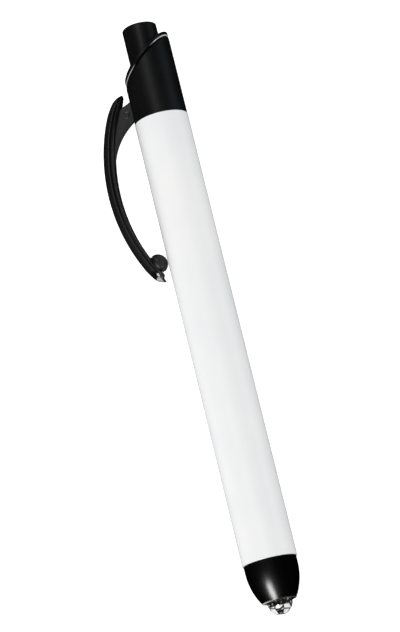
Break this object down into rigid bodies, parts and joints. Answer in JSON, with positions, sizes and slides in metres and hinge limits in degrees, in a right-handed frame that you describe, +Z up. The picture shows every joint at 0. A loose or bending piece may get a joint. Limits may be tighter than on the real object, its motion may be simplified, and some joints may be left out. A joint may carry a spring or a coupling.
{
  "type": "medical penlight",
  "caption": "Pocket examination penlight with a white tube, black push-button end, curved pocket clip and a tapered nose around a clear lens-ended bulb.",
  "frame": {"origin": "on the surface the pen lies on, under the middle of its box", "axes": "+Y along the pen from the bulb to the push button, +Z up, the pocket clip on the -X side and drooping until it touches the surface"},
  "size_m": [0.0222, 0.143, 0.0128],
  "materials": {
    "white_enamel": "smooth satin white enamel",
    "gloss_black": "polished black plastic",
    "satin_black": "fine satin black plastic",
    "button_black": "fine satin black plastic",
    "clip_black": "fine satin black plastic, glossier at the tip",
    "bulb_glass": "clear polished glass",
    "bead_glass": "pale glass",
    "base_glass": "black glass",
    "brass": "turned brass",
    "solder": "dull solder",
    "nickel_wire": "drawn wire",
    "tungsten": "drawn wire",
    "fibre": "red-brown pressed fibre",
    "spring_steel": "plated spring wire",
    "contact_bronze": "stamped phosphor bronze",
    "nylon": "natural nylon",
    "cell_steel": "plated steel can",
    "cell_nickel": "bright nickel",
    "cell_jacket": "plain shrink jacket"
  },
  "bodies": {
    "barrel": {"barrel_tube": "white_enamel", "switch_housing": "satin_black", "front_cell_can": "cell_steel", "front_cell_cap": "cell_nickel", "front_cell_jacket": "cell_jacket", "rear_cell_can": "cell_steel", "rear_cell_cap": "cell_nickel", "rear_cell_jacket": "cell_jacket", "battery_spring": "spring_steel", "centre_contact": "brass", "contact_insulator": "nylon", "contact_ring": "brass", "spring_seat": "nylon", "return_spring": "spring_steel"},
    "lamp": {"lamp_holder": "brass", "insulating_washer": "fibre", "bulb_glass": "bulb_glass", "bulb_shell": "brass", "bulb_insulator": "base_glass", "bulb_tip_contact": "solder", "bulb_bead": "bead_glass", "bulb_lead_wires": "nickel_wire", "bulb_filament": "tungsten"},
    "nose": {"nose_cone": "gloss_black"},
    "button": {"push_button": "button_black", "retaining_clip": "spring_steel", "contact_disc": "contact_bronze"},
    "clip": {"pocket_clip": "clip_black"}
  },
  "joints": [
    {"name": "nose_travel", "type": "slide", "parent": "barrel", "child": "lamp", "axis": [0, -1, 0], "range_m": [0, 0.0045]},
    {"name": "nose_unscrew", "type": "hinge", "parent": "lamp", "child": "nose", "pos_m": [0.00468, -0.06, 0.0064], "axis": [0, -1, 0], "range_deg": [0, 1621]},
    {"name": "button_press", "type": "slide", "parent": "barrel", "child": "button", "axis": [0, -1, 0], "range_m": [0, 0.0005], "stiffness_N_per_m": 1500, "springref_m": -0.0006, "deforming": ["return_spring"]},
    {"name": "clip_flex", "type": "hinge", "parent": "barrel", "child": "clip", "pos_m": [-0.00139, 0.05425, 0.00455], "axis": [0.2912, 0, -0.9567], "range_deg": [0, 4], "stiffness_Nm_per_rad": 2}
  ],
  "couplings": [
    {"joint": "nose_unscrew", "follows": "nose_travel", "rad_per_m": 6283.2}
  ]
}
